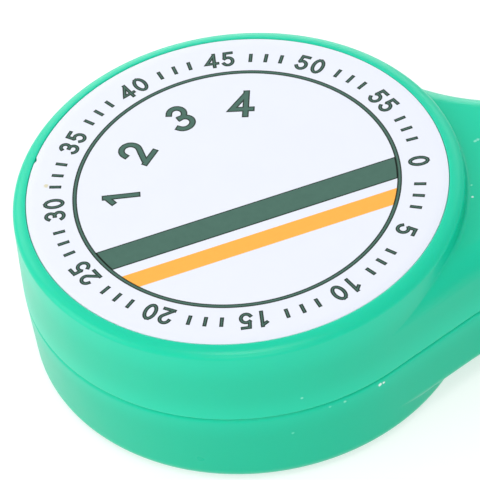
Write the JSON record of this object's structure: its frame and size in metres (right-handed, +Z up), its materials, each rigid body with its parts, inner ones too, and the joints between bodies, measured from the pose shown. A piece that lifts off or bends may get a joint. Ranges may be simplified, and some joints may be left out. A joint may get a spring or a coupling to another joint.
{
  "type": "desoldering braid dispenser",
  "caption": "Flat round hand dispenser with a tapering nose: a flanged reel turns inside and feeds flat copper desoldering braid out of a slot in the nose.",
  "frame": {"origin": "centre of the flat base face, on the reel's axis", "axes": "+X towards the nose and the free tip of the braid, +Z up from the base to the label"},
  "size_m": [0.0726, 0.0412, 0.0169],
  "materials": {
    "upper_plastic": "satin moulded mint green",
    "lower_plastic": "satin moulded mint green",
    "label_film": null,
    "reel_plastic": "plain moulded off-white",
    "wound_copper": "wound flat copper braid",
    "braided_copper": "flat copper braid"
  },
  "bodies": {
    "case": {"upper_shell": "upper_plastic", "lower_shell": "lower_plastic", "label": "label_film", "braid_lead": "braided_copper"},
    "reel": {"reel": "reel_plastic", "braid_coil": "wound_copper"}
  },
  "joints": [
    {"name": "reel_turn", "type": "hinge", "parent": "case", "child": "reel", "pos_m": [0, 0, 0.008], "axis": [0, 0, 1], "continuous": true}
  ]
}
